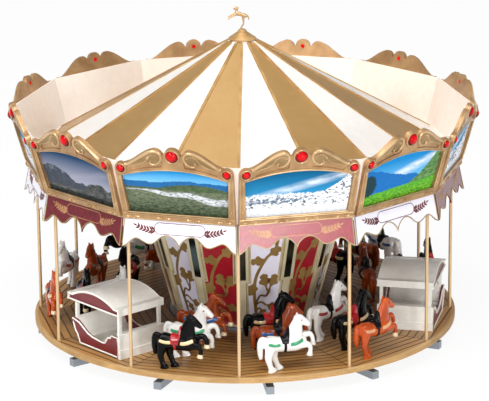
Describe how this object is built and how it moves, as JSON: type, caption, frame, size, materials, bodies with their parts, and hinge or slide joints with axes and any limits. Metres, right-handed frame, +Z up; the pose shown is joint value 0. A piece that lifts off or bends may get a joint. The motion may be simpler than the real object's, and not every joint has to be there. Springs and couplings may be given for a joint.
{
  "type": "wind up musical carousel",
  "caption": "Carousel with galloping horses and carriages on a turning deck under a gilt crown; a spring movement in its drum plays and turns it.",
  "frame": {"origin": "on the ground under the middle of the carousel", "axes": "+Z up along the spindle, -Y towards the front, where one post stands"},
  "size_m": [0.2262, 0.2262, 0.1588],
  "materials": {
    "grey_metal": "satin grey enamel",
    "steel": "bright",
    "deck_wood": "satin varnish",
    "gilt_metal": "polished gilt",
    "gilt_plastic": "metallic gold paint",
    "ivory_plastic": "glossy",
    "white_plastic": "glossy",
    "red_plastic": "glossy",
    "burgundy_plastic": "satin",
    "black_plastic": "glossy",
    "bay_plastic": "glossy",
    "sorrel_plastic": "glossy",
    "red_jewel": "polished cabochon",
    "print": "printed card",
    "mirror": "polished",
    "brass": "polished"
  },
  "bodies": {
    "stand": {"stand_hub": "grey_metal", "stand_bars": "grey_metal", "stand_screws": "steel", "drum_shell": "ivory_plastic", "drum_lid": "ivory_plastic", "drum_panels_white": "white_plastic", "drum_panels_red": "red_plastic", "drum_borders": "gilt_plastic", "drum_pilasters": "gilt_plastic", "drum_mirrors": "mirror", "movement_bedplate": "brass", "movement_screws": "steel", "barrel_bridge": "brass", "train_bracket": "brass", "comb": "steel", "comb_stand": "brass", "comb_screws": "steel"},
    "carousel": {"deck_board": "deck_wood", "deck_rim": "deck_wood", "deck_planks": "deck_wood", "posts": "gilt_metal", "crown_wall": "ivory_plastic", "crown_ring": "ivory_plastic", "crown_frames": "gilt_plastic", "jewels_top": "red_jewel", "jewels_corner": "red_jewel", "pictures": "print", "valances_red": "burgundy_plastic", "valances_white": "white_plastic", "valance_edging": "gilt_plastic", "roof_ivory": "ivory_plastic", "roof_gilt": "gilt_plastic", "roof_ribs": "gilt_plastic", "roof_cap": "gilt_plastic", "roof_boss": "brass", "roof_finial": "gilt_metal", "horses_white": "white_plastic", "horses_black": "black_plastic", "horses_bay": "bay_plastic", "horses_sorrel": "sorrel_plastic", "saddles_black": "black_plastic", "saddles_red": "red_plastic", "carriage_floors": "white_plastic", "carriage_fronts": "white_plastic", "carriage_seats": "white_plastic", "carriage_sides": "burgundy_plastic", "carriage_posts": "white_plastic", "carriage_roofs": "white_plastic", "carriage_gables": "burgundy_plastic", "spring_barrel": "brass", "spindle": "steel"},
    "cylinder": {"pin_cylinder": "brass"},
    "fly": {"governor_fly": "brass"},
    "key": {"winding_key": "brass"}
  },
  "joints": [
    {"name": "carousel_spin", "type": "hinge", "parent": "stand", "child": "carousel", "pos_m": [0, 0, 0.05], "axis": [0, 0, 1], "continuous": true},
    {"name": "cylinder_spin", "type": "hinge", "parent": "stand", "child": "cylinder", "pos_m": [0.02, 0, 0.0276], "axis": [1, 0, 0], "continuous": true},
    {"name": "fly_spin", "type": "hinge", "parent": "stand", "child": "fly", "pos_m": [0.02, -0.0111, 0.0276], "axis": [1, 0, 0], "continuous": true},
    {"name": "key_wind", "type": "hinge", "parent": "stand", "child": "key", "pos_m": [0, 0, 0.01], "axis": [0, 0, 1], "range_deg": [-1080, 1080]}
  ],
  "couplings": [
    {"joint": "cylinder_spin", "follows": "carousel_spin", "ratio": 4},
    {"joint": "fly_spin", "follows": "carousel_spin", "ratio": -17.143}
  ]
}
